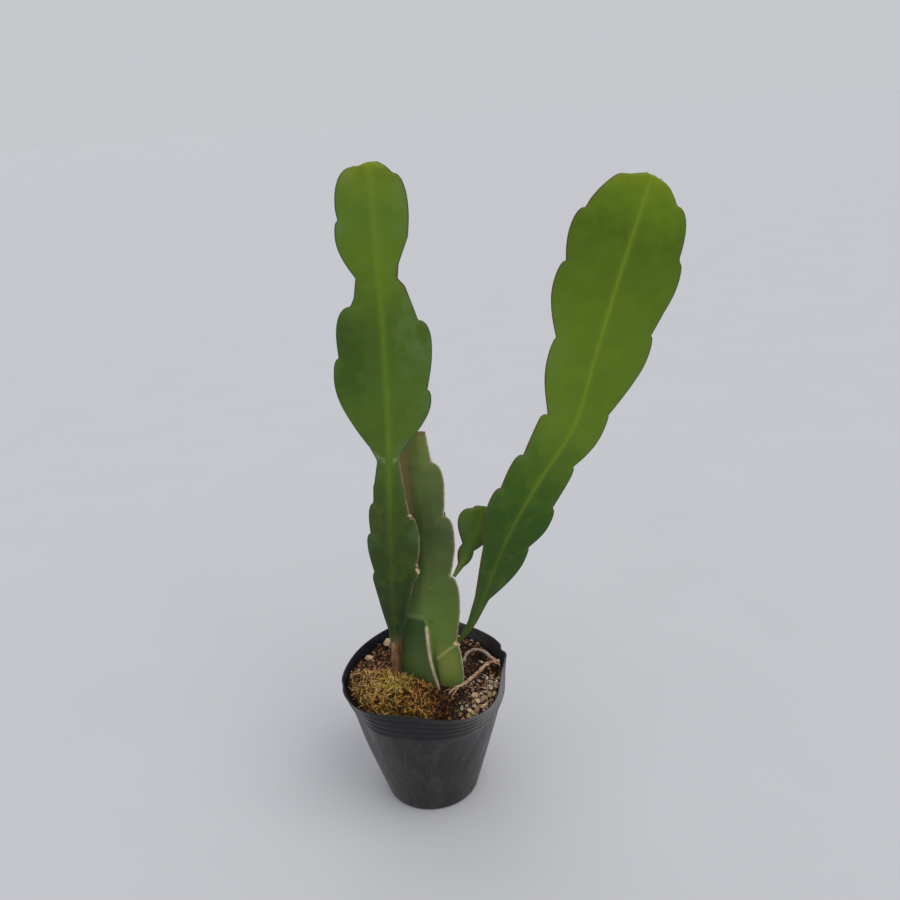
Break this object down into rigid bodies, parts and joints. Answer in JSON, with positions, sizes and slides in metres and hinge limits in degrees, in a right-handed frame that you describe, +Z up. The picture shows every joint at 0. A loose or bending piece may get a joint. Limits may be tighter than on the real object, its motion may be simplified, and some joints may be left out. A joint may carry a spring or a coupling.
{
  "type": "potted epiphyllum",
  "caption": "Young flat-stemmed epiphyllum cutting with notched leafy stems, standing in soil and moss in a soft black tapered nursery pot with a ringed band.",
  "frame": {"origin": "centre of the flat underside of the pot, on the surface that the pot stands on", "axes": "+Z up through the plant; -Y towards the broad faces of the stems; +X towards the side that the long leaning stem reaches over"},
  "size_m": [0.1828, 0.0997, 0.3401],
  "materials": {
    "pot": "black, softly shining, dusty",
    "soil": "loose brown potting mix with pale chips",
    "moss": "yellow-green fine moss",
    "roots": "tan dry root",
    "old_stem": "olive waxy skin with corky veins",
    "stem": "fresh green, waxy"
  },
  "bodies": {
    "root": {"pot": "pot", "soil": "soil", "moss": "moss", "surface_roots": "roots", "mother_pad": "old_stem", "left_shoot": "stem", "right_shoot": "stem", "small_shoot": "stem"}
  },
  "joints": []
}
